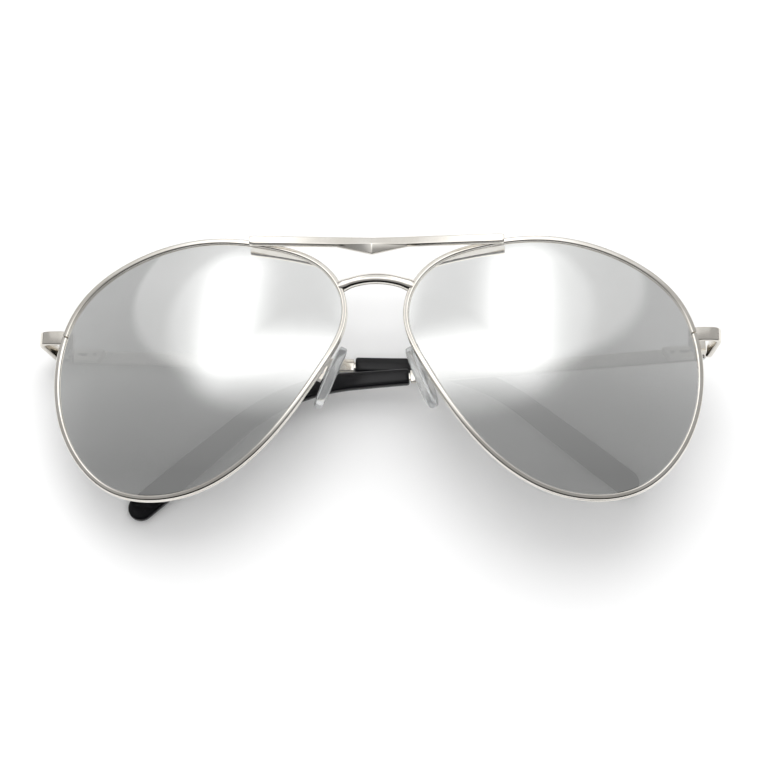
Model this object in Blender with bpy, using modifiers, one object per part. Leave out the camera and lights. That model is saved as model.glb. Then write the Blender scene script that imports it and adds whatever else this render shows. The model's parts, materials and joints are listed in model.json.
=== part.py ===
"""Folded double-bridge aviator sunglasses with spring hinges.

Every piece is drawn in the wearing frame: +X to the wearer's left, +Y
backwards along the open temples, +Z up to the brow, with the middle of the
two lenses at the origin.  The pieces hang from one empty, which lays the
folded glasses on their back with the lenses facing up and the lowest point
on Z = 0.
"""

import math

import bmesh
import bpy
import numpy as np
from mathutils import Matrix, Vector

MM = 0.001

# Front
RIM_GAP = 12.0 * MM            # between the two rims at the nose
RIM_OUTLINE_MM = (             # right-handed outline of a rim round its own centre: X, Z
    (32.1, 0.0), (27.5, 15.8), (14.7, 25.6), (-1.0, 29.3), (-16.0, 27.6), (-26.4, 23.2),
    (-31.3, 16.0), (-31.5, 8.0), (-28.0, 0.0), (-20.5, -11.9), (-12.2, -21.1), (-1.5, -27.6),
    (8.0, -29.3), (18.5, -27.0), (28.5, -16.4),
)
FACE_RADIUS = 95.0 * MM        # base curve of the lenses
FACE_WRAP = math.radians(6.0)  # each lens turns back towards the temples
RIM_WIDTH = 1.2 * MM
RIM_DEPTH = 2.2 * MM
RIM_CHAMFER = 0.15 * MM
RIM_SLIT = 0.4 * MM            # closed by the rim lock's screw
RIM_STEPS = 72
LENS_GROOVE = 0.35 * MM
LENS_INSET = 1.45 * MM         # lens face edge, in from the rim's outside
LENS_BEVEL_INSET = 1.05 * MM
LENS_FRONT = 0.5 * MM          # behind the rim's front
LENS_BACK = 1.7 * MM
LENS_RINGS = (0.3, 0.6, 0.85)

BRIDGE_RADIUS = 1.2 * MM
BRIDGE_HALF_SPAN = 6.95 * MM
BRIDGE_END = (4.3 * MM, 18.3 * MM)      # Y, Z
BRIDGE_CROWN = (3.0 * MM, 19.2 * MM)
BRIDGE_STEPS = 12

BAR_HALF_LENGTH = 27.6 * MM
BAR_THICKNESS = 1.3 * MM
BAR_END_HEIGHT = 2.0 * MM
BAR_MID_HEIGHT = 3.6 * MM
BAR_TOP_END = 29.0 * MM
BAR_TOP_MID = 27.8 * MM
BAR_FRONT_END = 1.5 * MM
BAR_FRONT_MID = 0.3 * MM
BAR_PEAK_HALF_WIDTH = 7.0 * MM          # the deeper V in the middle
BAR_CHAMFER = 0.3 * MM

# Side
HINGE_AT = (69.9 * MM, 21.3 * MM, 8.4 * MM)
STRIP_THICKNESS = 1.1 * MM
END_PIECE_HEIGHT = 3.0 * MM
END_PIECE_INNER = 69.15 * MM
END_PIECE_OUTER = 74.3 * MM
END_PIECE_FRONT = 8.9 * MM
END_PIECE_BEND = 2.4 * MM
BUTT_GAP = 0.15 * MM
STRIP_OFFSET = 1.75 * MM                # strip's middle, outside the hinge axis

LOCK_SIZE = (2.4 * MM, 2.4 * MM, 1.7 * MM)
LOCK_AT = (68.1 * MM, 12.9 * MM)
LOCK_GAP = 0.4 * MM
LOCK_BORE = 0.6 * MM
LOCK_SCREW = 0.5 * MM
SCREW_HEAD = 0.85 * MM
SCREW_HEAD_HEIGHT = 0.6 * MM

KNUCKLE_RADIUS = 1.2 * MM
KNUCKLE_HALF_HEIGHT = 1.35 * MM
FORK_SLOT = 0.5 * MM                    # half height of the gap for the eyelet
FORK_LENGTH = 4.6 * MM
FORK_INNER = 0.9 * MM
PIN_RADIUS = 0.36 * MM
PIN_BORE = 0.44 * MM

EYELET_HALF_HEIGHT = 0.35 * MM
SHANK_RADIUS = 0.26 * MM
SHANK_END = 5.4 * MM
SHANK_HEAD_RADIUS = 0.5 * MM
SHANK_HEAD_LENGTH = 0.4 * MM
SPRING_RADIUS = 0.44 * MM
SPRING_WIRE = 0.1 * MM
SPRING_SPAN = (2.7 * MM, 4.8 * MM)
SPRING_TURNS = 5
SPRING_TURN_STEPS = 10

HOUSING_SPAN = (1.6 * MM, 8.3 * MM)
HOUSING_INNER = 1.0 * MM
HOUSING_OUTER = 0.9 * MM
HOUSING_HALF_HEIGHT = 1.35 * MM
HOUSING_SLANT = 1.6 * MM
HOUSING_BORE = 0.64 * MM
HOUSING_BORE_SPAN = (2.5 * MM, 7.0 * MM)
HOUSING_MOUTH = 0.4 * MM
HOUSING_SLOT = (2.6 * MM, 4.6 * MM, 0.35 * MM)   # start, end, half height
HOUSING_DIMPLE = (6.2 * MM, 0.45 * MM)           # centre, radius

# Temples
BEND_AT = 90.7 * MM            # where the arm's line meets the tip's line
BEND_ANGLE = math.radians(37.0)
BEND_RADIUS = 42.0 * MM
TEMPLE_LENGTH = 134.5 * MM
ARM_HEIGHT_FRONT = 3.4 * MM
ARM_HEIGHT_REAR = 2.9 * MM
CORE_HEIGHT = 1.7 * MM
CORE_THICKNESS = 0.8 * MM
CORE_END = 122.0 * MM
SLEEVE_START = 64.0 * MM
SLEEVE_THICKNESS = 2.4 * MM
SLEEVE_TIP_THICKNESS = 2.2 * MM
SLEEVE_HEIGHT_START = 3.6 * MM
SLEEVE_HEIGHT_BEND = 4.3 * MM
SLEEVE_HEIGHT_TIP = 5.7 * MM
SLEEVE_CLEARANCE = 0.25 * MM
LEFT_FOLD = math.radians(90.0)
RIGHT_FOLD = math.radians(86.0)
LEFT_DROOP = math.radians(4.4)
RIGHT_DROOP = math.radians(0.7)

# Nose pads
PAD_AT = (9.8 * MM, 9.1 * MM, -1.1 * MM)
PAD_LEAN = math.radians(22.0)
PAD_SPLAY = math.radians(14.0)
PAD_HALF = (7.25 * MM, 3.9 * MM, 1.1 * MM)      # along, across, through
TONGUE = (1.6 * MM, 1.0 * MM, 1.9 * MM)
CUP_OUTER = (3.2 * MM, 2.6 * MM, 1.6 * MM)
CUP_INNER = (2.4 * MM, 1.5 * MM, 1.3 * MM)
CUP_STANDOFF = 0.5 * MM
PAD_SCREW = 0.3 * MM
PAD_SCREW_BORE = 0.38 * MM
PAD_SCREW_HEAD = 0.6 * MM
PAD_ARM_RADIUS = 0.45 * MM

# Lying on the folded temples
LIE_PITCH = math.radians(-88.58)
LIE_ROLL = math.radians(-4.554)

STEEL = (0.80, 0.78, 0.74, 1.0)
BLACK = (0.012, 0.012, 0.014, 1.0)
MIRROR = (0.72, 0.73, 0.74, 1.0)
CLEAR = (0.86, 0.88, 0.88, 1.0)


def clear_scene():
    for item in list(bpy.data.objects):
        bpy.data.objects.remove(item, do_unlink=True)


def make_collection(name):
    collection = bpy.data.collections.new(name)
    bpy.context.scene.collection.children.link(collection)
    return collection


def make_material(name, color, metallic, roughness):
    material = bpy.data.materials.new(name)
    material.use_nodes = True
    shader = material.node_tree.nodes["Principled BSDF"]
    shader.inputs["Base Color"].default_value = color
    shader.inputs["Metallic"].default_value = metallic
    shader.inputs["Roughness"].default_value = roughness
    material.diffuse_color = color
    return material


def make_empty(name, parent, location=(0, 0, 0), rotation=None):
    empty = bpy.data.objects.new(name, None)
    empty.empty_display_size = 4 * MM
    parts.objects.link(empty)
    empty.parent = parent
    matrix = Matrix.Translation(location)
    if rotation is not None:
        matrix = matrix @ rotation.to_4x4()
    empty.matrix_local = matrix
    return empty


def add_object(name, mesh, parent, material, collection=None):
    item = bpy.data.objects.new(name, mesh)
    (collection or parts).objects.link(item)
    item.parent = parent
    if material:
        own = material.copy()
        own.name = name
        mesh.materials.append(own)
    return item


def finish_mesh(name, bm, sharp=35):
    if bm.calc_volume(signed=True) < 0:
        bmesh.ops.reverse_faces(bm, faces=bm.faces)
    mesh = bpy.data.meshes.new(name)
    bm.to_mesh(mesh)
    bm.free()
    mesh.shade_smooth()
    mesh.set_sharp_from_angle(angle=math.radians(sharp))
    return mesh


def loft(name, rings):
    """Skin over a row of closed rings, with a flat cap at each end."""
    bm = bmesh.new()
    rows = [[bm.verts.new(point) for point in ring] for ring in rings]
    for row, following in zip(rows, rows[1:]):
        for i in range(len(row)):
            j = (i + 1) % len(row)
            bm.faces.new((row[i], row[j], following[j], following[i]))
    bm.faces.new(rows[0][::-1])
    bm.faces.new(rows[-1])
    return finish_mesh(name, bm)


def box_mesh(name, low, high):
    bm = bmesh.new()
    bmesh.ops.create_cube(bm, size=1.0)
    for vert in bm.verts:
        vert.co = [l + (h - l) * (c + 0.5) for l, h, c in zip(low, high, vert.co)]
    return finish_mesh(name, bm)


def rod_mesh(name, start, end, radius, sides=20):
    """A cylinder between two points."""
    start, end = Vector(start), Vector(end)
    bm = bmesh.new()
    bmesh.ops.create_cone(bm, cap_ends=True, segments=sides, radius1=radius, radius2=radius,
                          depth=(end - start).length)
    turn = (end - start).to_track_quat("Z", "Y").to_matrix().to_4x4()
    bm.transform(Matrix.Translation((start + end) / 2) @ turn)
    return finish_mesh(name, bm)


def screw_object(name, profile, parent, material, matrix, steps=16):
    """A turned piece: radius and height pairs, from the top down, spun round Z."""
    mesh = bpy.data.meshes.new(name)
    points = [(radius, 0, height) for radius, height in profile]
    mesh.from_pydata(points, [(i, i + 1) for i in range(len(points) - 1)], [])
    item = add_object(name, mesh, parent, material)
    item.matrix_local = matrix
    spin = item.modifiers.new("Turn", "SCREW")
    spin.axis = "Z"
    spin.steps = spin.render_steps = steps
    spin.use_merge_vertices = True
    spin.merge_threshold = 0.00001
    return item


def screw_profile(shaft, head, head_height, top, under_head):
    """Head at the low end, shaft running up to the top."""
    return ((0, top), (shaft, top), (shaft, under_head), (head, under_head),
            (head, under_head - head_height), (0, under_head - head_height))


def combine(item, operation, mesh):
    """Join a mesh to an object, or cut it out, in the object's own frame."""
    cutter = add_object(item.name + "_tool", mesh, item.parent, None, cutters)
    cutter.hide_render = True
    cutter.display_type = "WIRE"
    cutter.matrix_local = item.matrix_local
    change = item.modifiers.new(operation.title(), "BOOLEAN")
    change.operation = operation
    change.object = cutter
    change.solver = "EXACT"


def wire_object(name, points, radius, parent, material, resolution=3):
    curve = bpy.data.curves.new(name, "CURVE")
    curve.dimensions = "3D"
    spline = curve.splines.new("POLY")
    spline.points.add(len(points) - 1)
    for slot, point in zip(spline.points, points):
        slot.co = (*point, 1)
    curve.bevel_depth = radius
    curve.bevel_resolution = resolution
    curve.use_fill_caps = True
    item = add_object(name, curve, parent, material)
    return item


def smooth_path(knots, steps):
    """Points on a Catmull-Rom curve through the knots."""
    knots = [Vector(k) for k in knots]
    padded = [2 * knots[0] - knots[1], *knots, 2 * knots[-1] - knots[-2]]
    path = []
    for a, b, c, d in zip(padded, padded[1:], padded[2:], padded[3:]):
        for step in range(steps):
            u = step / steps
            path.append(0.5 * (2 * b + (c - a) * u + (2 * a - 5 * b + 4 * c - d) * u ** 2
                               + (3 * b - a - 3 * c + d) * u ** 3))
    return path + [knots[-1]]


def closed_spline(knots, fineness=40):
    """Dense points on the smooth closed curve through the knots."""
    knots = np.array(knots)
    count = len(knots)
    chord = np.linalg.norm(np.roll(knots, -1, 0) - knots, axis=1)
    system = np.zeros((count, count))
    target = np.zeros((count, 2))
    for i in range(count):
        before, after, nxt = chord[i - 1], chord[i], (i + 1) % count
        system[i, i - 1] += after
        system[i, i] += 2 * (before + after)
        system[i, nxt] += before
        target[i] = 3 * (after * (knots[i] - knots[i - 1]) / before
                         + before * (knots[nxt] - knots[i]) / after)
    slope = np.linalg.solve(system, target)
    points = []
    for i in range(count):
        nxt = (i + 1) % count
        for u in np.arange(fineness) / fineness:
            points.append((2 * u ** 3 - 3 * u ** 2 + 1) * knots[i] + (3 * u ** 2 - 2 * u ** 3) * knots[nxt]
                          + chord[i] * ((u ** 3 - 2 * u ** 2 + u) * slope[i] + (u ** 3 - u ** 2) * slope[nxt]))
    return np.array(points)


def walk(points, start, end, count):
    """Evenly spaced points along a polyline between two distances."""
    length = np.concatenate([[0], np.cumsum(np.linalg.norm(np.diff(points, axis=0), axis=1))])
    where = np.linspace(start, length[-1] - end, count)
    return np.stack([np.interp(where, length, points[:, axis]) for axis in (0, 1)], axis=1)


def outward(points, closed):
    """Unit normals of an anticlockwise polyline."""
    if closed:
        along = np.roll(points, -1, 0) - np.roll(points, 1, 0)
    else:
        along = np.gradient(points, axis=0)
    along /= np.linalg.norm(along, axis=1)[:, None]
    return np.stack([along[:, 1], -along[:, 0]], axis=1)


OUTLINE = closed_spline(RIM_OUTLINE_MM) * MM
LENS_CENTRE = (OUTLINE[:, 0].max() - OUTLINE[:, 0].min()) / 2 + RIM_GAP / 2
OUTLINE[:, 0] -= (OUTLINE[:, 0].max() + OUTLINE[:, 0].min()) / 2


def face_depth(x, z):
    """How far back the curved face lies, at a place on the wearer's left side."""
    centre_x = LENS_CENTRE - FACE_RADIUS * math.sin(FACE_WRAP)
    centre_y = FACE_RADIUS * math.cos(FACE_WRAP)
    return centre_y - math.sqrt(FACE_RADIUS ** 2 - (x - centre_x) ** 2 - z ** 2)


def on_face(side, x, z, depth):
    x += LENS_CENTRE
    return (side * x, face_depth(x, z) + depth, z)


def outline_from_slit():
    """The outline as an open line that starts and ends at the rim lock."""
    slit_z = HINGE_AT[2]
    above = [i for i in range(len(OUTLINE)) if OUTLINE[i, 0] > 0 and OUTLINE[i, 1] >= slit_z]
    first = min(above, key=lambda i: OUTLINE[i, 1])
    return np.concatenate([OUTLINE[first:], OUTLINE[:first + 1]])


def build_rim(side, name):
    """A grooved ring, open at the slit that lets the lens in."""
    inner, back = RIM_WIDTH, RIM_DEPTH
    middle = (LENS_FRONT + LENS_BACK) / 2
    section = ((0, RIM_CHAMFER), (RIM_CHAMFER, 0), (inner - RIM_CHAMFER, 0), (inner, RIM_CHAMFER),
               (inner, middle - LENS_GROOVE), (inner - LENS_GROOVE, middle), (inner, middle + LENS_GROOVE),
               (inner, back - RIM_CHAMFER), (inner - RIM_CHAMFER, back), (RIM_CHAMFER, back),
               (0, back - RIM_CHAMFER))
    line = walk(outline_from_slit(), RIM_SLIT / 2, RIM_SLIT / 2, RIM_STEPS)
    rings = []
    for point, normal in zip(line, outward(line, closed=False)):
        rings.append([on_face(side, *(point - normal * inset), depth) for inset, depth in section])
    return add_object(name, loft(name, rings), front, steel)


def build_lens(side, name):
    """A curved disc with a bevelled edge that sits in the rim's groove."""
    loop = walk(np.concatenate([OUTLINE, OUTLINE[:1]]), 0, 0, RIM_STEPS + 1)[:-1]
    normal = outward(loop, closed=True)
    face = loop - normal * LENS_INSET
    bevel = loop - normal * LENS_BEVEL_INSET
    rings = [[on_face(side, *(p * scale), LENS_FRONT) for p in face] for scale in (*LENS_RINGS, 1.0)]
    rings.append([on_face(side, *p, (LENS_FRONT + LENS_BACK) / 2) for p in bevel])
    rings += [[on_face(side, *(p * scale), LENS_BACK) for p in face] for scale in (1.0, *LENS_RINGS[::-1])]
    bm = bmesh.new()
    rows = [[bm.verts.new(p) for p in ring] for ring in rings]
    for row, following in zip(rows, rows[1:]):
        for i in range(len(row)):
            j = (i + 1) % len(row)
            bm.faces.new((row[i], row[j], following[j], following[i]))
    for row, depth in ((rows[0][::-1], LENS_FRONT), (rows[-1], LENS_BACK)):
        hub = bm.verts.new(on_face(side, 0, 0, depth))
        for i in range(len(row)):
            bm.faces.new((row[i], row[(i + 1) % len(row)], hub))
    return add_object(name, finish_mesh(name, bm), front, mirror)


def build_bridge():
    points = []
    for i in range(BRIDGE_STEPS + 1):
        u = 2 * i / BRIDGE_STEPS - 1
        y, z = [crown + (end - crown) * u * u for crown, end in zip(BRIDGE_CROWN, BRIDGE_END)]
        points.append((u * BRIDGE_HALF_SPAN, y, z))
    wire_object("bridge", points, BRIDGE_RADIUS, front, steel)


def build_brow_bar():
    """A flat bar across the rims that deepens to a V over the nose."""
    rings = []
    for u in (-1, -0.985, -0.75, -0.5, -0.25, -0.12, 0, 0.12, 0.25, 0.5, 0.75, 0.985, 1):
        x = u * BAR_HALF_LENGTH
        peak = max(0.0, 1 - abs(x) / BAR_PEAK_HALF_WIDTH)
        top = BAR_TOP_MID + (BAR_TOP_END - BAR_TOP_MID) * abs(u) ** 1.3
        height = BAR_END_HEIGHT + (BAR_MID_HEIGHT - BAR_END_HEIGHT) * peak
        front_y = BAR_FRONT_MID + (BAR_FRONT_END - BAR_FRONT_MID) * u * u
        trim = BAR_CHAMFER if abs(u) == 1 else 0
        bottom, back = top - height + trim, front_y + BAR_THICKNESS
        top -= trim
        skirt = BAR_CHAMFER + 0.5 * height * peak
        rings.append([(x, back, top), (x, front_y + BAR_CHAMFER, top), (x, front_y, top - BAR_CHAMFER),
                      (x, front_y, bottom + skirt), (x, front_y + BAR_THICKNESS / 2, bottom), (x, back, bottom)])
    add_object("brow_bar", loft("brow_bar", rings), front, steel)


def strip_ring(x, y, direction, thickness, height, z_middle=0.0):
    """An upright rectangle across a plan direction, centred on x and y."""
    across = Vector((direction[1], -direction[0], 0)).normalized() * thickness / 2
    middle, up = Vector((x, y, z_middle)), Vector((0, 0, height / 2))
    return [middle + across - up, middle + across + up, middle - across + up, middle - across - up]


def build_end_piece(side, name):
    """A strip from the rim's front, round a bend, back to the hinge."""
    half = STRIP_THICKNESS / 2
    start = Vector((END_PIECE_INNER, END_PIECE_FRONT + half))
    corner = Vector((END_PIECE_OUTER - half, END_PIECE_FRONT + half))
    stop = Vector((HINGE_AT[0] + STRIP_OFFSET, HINGE_AT[1] - BUTT_GAP))
    outwards, back = (corner - start).normalized(), (stop - corner).normalized()
    first, last = corner - outwards * END_PIECE_BEND, corner + back * END_PIECE_BEND
    path = [start]
    for i in range(7):
        u = i / 6
        path.append((1 - u) ** 2 * first + 2 * u * (1 - u) * corner + u * u * last)
    path.append(stop)
    rings = []
    for i, point in enumerate(path):
        before, after = path[max(i - 1, 0)], path[min(i + 1, len(path) - 1)]
        heading = Vector((0, 1)) if i == len(path) - 1 else after - before
        ring = strip_ring(*point, heading, STRIP_THICKNESS, END_PIECE_HEIGHT, HINGE_AT[2])
        rings.append([(side * p.x, p.y, p.z) for p in ring])
    add_object(name, loft(name, rings), front, steel)


def build_rim_lock(side, word):
    """Two blocks behind the slit, drawn together by a screw from below."""
    x, y = side * LOCK_AT[0], LOCK_AT[1]
    middle = HINGE_AT[2]
    wide, deep, tall = LOCK_SIZE
    for level, up in (("upper", 1), ("lower", -1)):
        name = "rim_lock_%s_%s" % (level, word)
        ends = sorted((middle + up * LOCK_GAP / 2, middle + up * (LOCK_GAP / 2 + tall)))
        block = add_object(name, box_mesh(name, (x - wide / 2, y - deep / 2, ends[0]),
                                          (x + wide / 2, y + deep / 2, ends[1])), front, steel)
        combine(block, "DIFFERENCE", rod_mesh("bore", (x, y, ends[0] - MM), (x, y, ends[1] + MM), LOCK_BORE))
    under = -LOCK_GAP / 2 - tall - 0.2 * MM
    profile = screw_profile(LOCK_SCREW, SCREW_HEAD, SCREW_HEAD_HEIGHT, tall, under)
    screw_object("rim_screw_" + word, profile, front, steel, Matrix.Translation((x, y, middle)))


def build_hinge_front(side, word, hinge):
    """Fork of two knuckles on a foot behind the end piece, with its screw."""
    name = "hinge_front_" + word
    foot = box_mesh(name, (-FORK_INNER, -FORK_LENGTH, -KNUCKLE_HALF_HEIGHT), (FORK_INNER, 0, KNUCKLE_HALF_HEIGHT))
    fork = add_object(name, foot, hinge, steel)
    combine(fork, "UNION", rod_mesh("knuckles", (0, 0, -KNUCKLE_HALF_HEIGHT * 1.0001),
                                    (0, 0, KNUCKLE_HALF_HEIGHT * 1.0001), KNUCKLE_RADIUS, 24))
    slot = KNUCKLE_RADIUS + 0.3 * MM
    combine(fork, "DIFFERENCE", box_mesh("slot", (-2 * slot, -slot, -FORK_SLOT), (2 * slot, 2 * slot, FORK_SLOT)))
    combine(fork, "DIFFERENCE", rod_mesh("bore", (0, 0, -3 * MM), (0, 0, 3 * MM), PIN_BORE))
    profile = screw_profile(PIN_RADIUS, SCREW_HEAD, SCREW_HEAD_HEIGHT / 2,
                            KNUCKLE_HALF_HEIGHT, -KNUCKLE_HALF_HEIGHT - 0.15 * MM)
    screw_object("hinge_screw_" + word, profile, hinge, steel, Matrix.Identity(4))


def build_eyelet(word, temple):
    """The middle knuckle with the shank that the spring pulls into the housing."""
    name = "hinge_eyelet_" + word
    knuckle = rod_mesh(name, (0, 0, -EYELET_HALF_HEIGHT), (0, 0, EYELET_HALF_HEIGHT), KNUCKLE_RADIUS, 24)
    eyelet = add_object(name, knuckle, temple, steel)
    combine(eyelet, "UNION", rod_mesh("shank", (0, KNUCKLE_RADIUS / 2, 0), (0, SHANK_END, 0), SHANK_RADIUS, 12))
    combine(eyelet, "UNION", rod_mesh("shank_head", (0, SHANK_END - SHANK_HEAD_LENGTH, 0),
                                      (0, SHANK_END + 0.01 * MM, 0), SHANK_HEAD_RADIUS, 16))
    combine(eyelet, "DIFFERENCE", rod_mesh("bore", (0, 0, -2 * MM), (0, 0, 2 * MM), PIN_BORE))


def build_spring(word, temple):
    points = []
    low, high = SPRING_SPAN
    for i in range(SPRING_TURNS * SPRING_TURN_STEPS + 1):
        u = i / (SPRING_TURNS * SPRING_TURN_STEPS)
        turn = 2 * math.pi * SPRING_TURNS * u
        points.append((SPRING_RADIUS * math.cos(turn), low + (high - low) * u, SPRING_RADIUS * math.sin(turn)))
    wire_object("hinge_spring_" + word, points, SPRING_WIRE, temple, steel, resolution=1)


def build_housing(side, word, temple):
    """Hollow block on the arm's inner face that holds the shank and spring."""
    name = "hinge_housing_" + word
    low, high = HOUSING_SPAN
    tall = HOUSING_HALF_HEIGHT
    inner, outer = -side * HOUSING_INNER, side * HOUSING_OUTER
    outline = ((low, -tall), (high - HOUSING_SLANT, -tall), (high, tall), (low, tall))
    rings = [[(x, y, z) for y, z in outline] for x in (inner, outer)]
    housing = add_object(name, loft(name, rings), temple, steel)
    mouth = rod_mesh("mouth", (0, 0, 0), (0, HOUSING_BORE_SPAN[0] + 0.5 * MM, 0), HOUSING_MOUTH, 16)
    combine(housing, "DIFFERENCE", mouth)
    bore = rod_mesh("bore", (0, HOUSING_BORE_SPAN[0], 0), (0, HOUSING_BORE_SPAN[1], 0), HOUSING_BORE, 20)
    combine(housing, "DIFFERENCE", bore)
    start, end, half = HOUSING_SLOT
    reach = sorted((inner * 1.5, -side * 0.4 * MM))
    combine(housing, "DIFFERENCE", box_mesh("slot", (reach[0], start, -half), (reach[1], end, half)))
    at, radius = HOUSING_DIMPLE
    combine(housing, "DIFFERENCE", rod_mesh("dimple", (inner * 1.5, at, 0), (inner * 0.4, at, 0), radius, 16))


def temple_place(distance):
    """Y and Z of the temple's middle line, and its slope, at a distance along it."""
    tangent = BEND_RADIUS * math.tan(BEND_ANGLE / 2)
    start = BEND_AT - tangent
    angle = min(max((distance - start) / BEND_RADIUS, 0.0), BEND_ANGLE)
    y = min(distance, start) + BEND_RADIUS * math.sin(angle)
    z = -BEND_RADIUS * (1 - math.cos(angle))
    straight = max(distance - start - BEND_RADIUS * BEND_ANGLE, 0.0)
    return y + straight * math.cos(angle), z - straight * math.sin(angle), angle


def temple_ring(side, distance, thickness, height, corners):
    """A section across the temple: corner places as shares of half its size."""
    y, z, angle = temple_place(distance)
    ring = []
    for across, up in corners:
        rise = up * height / 2
        ring.append((side * (STRIP_OFFSET + across * thickness / 2),
                     y + rise * math.sin(angle), z + rise * math.cos(angle)))
    return ring


ARM_CORNERS = ((1, -0.86), (1, 0.86), (0.6, 1), (-0.6, 1), (-1, 0.86), (-1, -0.86), (-0.6, -1), (0.6, -1))
SLEEVE_CORNERS = tuple((math.copysign(abs(math.cos(a)) ** 0.55, math.cos(a)),
                        math.copysign(abs(math.sin(a)) ** 0.55, math.sin(a)))
                       for a in (2 * math.pi * (i + 0.5) / 16 for i in range(16)))


def ease(value, low, high):
    u = min(max((value - low) / (high - low), 0.0), 1.0)
    return u * u * (3 - 2 * u)


def build_arm(side, word, temple):
    """Metal strip that thins to a core inside the sleeve."""
    name = "temple_arm_" + word
    neck = SLEEVE_START - 0.4 * MM
    rings = []
    for distance in (BUTT_GAP, 20 * MM, 40 * MM, neck):
        height = ARM_HEIGHT_FRONT + (ARM_HEIGHT_REAR - ARM_HEIGHT_FRONT) * distance / neck
        rings.append(temple_ring(side, distance, STRIP_THICKNESS, height, ARM_CORNERS))
    for distance in np.linspace(neck + 0.05 * MM, CORE_END, 12):
        rings.append(temple_ring(side, float(distance), CORE_THICKNESS, CORE_HEIGHT, ARM_CORNERS))
    add_object(name, loft(name, rings), temple, steel)


def sleeve_height(distance):
    rise = ease(distance, SLEEVE_START, BEND_AT) * (SLEEVE_HEIGHT_BEND - SLEEVE_HEIGHT_START)
    paddle = ease(distance, BEND_AT, TEMPLE_LENGTH - 10 * MM) * (SLEEVE_HEIGHT_TIP - SLEEVE_HEIGHT_BEND)
    return SLEEVE_HEIGHT_START + rise + paddle


def build_sleeve(side, word, temple):
    """Moulded tip: one skin from the blind end of its bore, out and round to the tip."""
    name = "temple_sleeve_" + word
    clearance = 2 * SLEEVE_CLEARANCE
    rings = []
    for distance in np.linspace(CORE_END + SLEEVE_CLEARANCE, SLEEVE_START, 12):
        rings.append(temple_ring(side, float(distance), CORE_THICKNESS + clearance,
                                 CORE_HEIGHT + clearance, SLEEVE_CORNERS))
    shoulder = 0.35 * MM
    rings.append(temple_ring(side, SLEEVE_START, SLEEVE_THICKNESS * 0.8, SLEEVE_HEIGHT_START * 0.86, SLEEVE_CORNERS))
    end_radius = SLEEVE_HEIGHT_TIP / 2
    for distance in np.linspace(SLEEVE_START + shoulder, TEMPLE_LENGTH - end_radius, 18):
        share = ease(distance, BEND_AT, TEMPLE_LENGTH)
        thickness = SLEEVE_THICKNESS + (SLEEVE_TIP_THICKNESS - SLEEVE_THICKNESS) * share
        rings.append(temple_ring(side, float(distance), thickness, sleeve_height(distance), SLEEVE_CORNERS))
    for step in (20, 40, 58, 72, 82):
        angle = math.radians(step)
        distance = TEMPLE_LENGTH - end_radius * (1 - math.sin(angle))
        rings.append(temple_ring(side, distance, SLEEVE_TIP_THICKNESS * math.cos(angle) ** 0.35,
                                 SLEEVE_HEIGHT_TIP * math.cos(angle), SLEEVE_CORNERS))
    add_object(name, loft(name, rings), temple, black)


def pad_frame_matrix(side):
    """Axes of a nose pad: X along it, Y across it, Z towards the nose."""
    along = Vector((-side * math.sin(PAD_LEAN), 0, math.cos(PAD_LEAN)))
    inwards = Vector((-side * math.cos(PAD_LEAN), 0, -math.sin(PAD_LEAN)))
    normal = inwards * math.cos(PAD_SPLAY) + Vector((0, math.sin(PAD_SPLAY), 0))
    across = normal.cross(along)
    return Matrix((along, across, normal)).transposed()


def centred_box(name, size, low_z):
    return box_mesh(name, (-size[0] / 2, -size[1] / 2, low_z), (size[0] / 2, size[1] / 2, low_z + size[2]))


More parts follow.
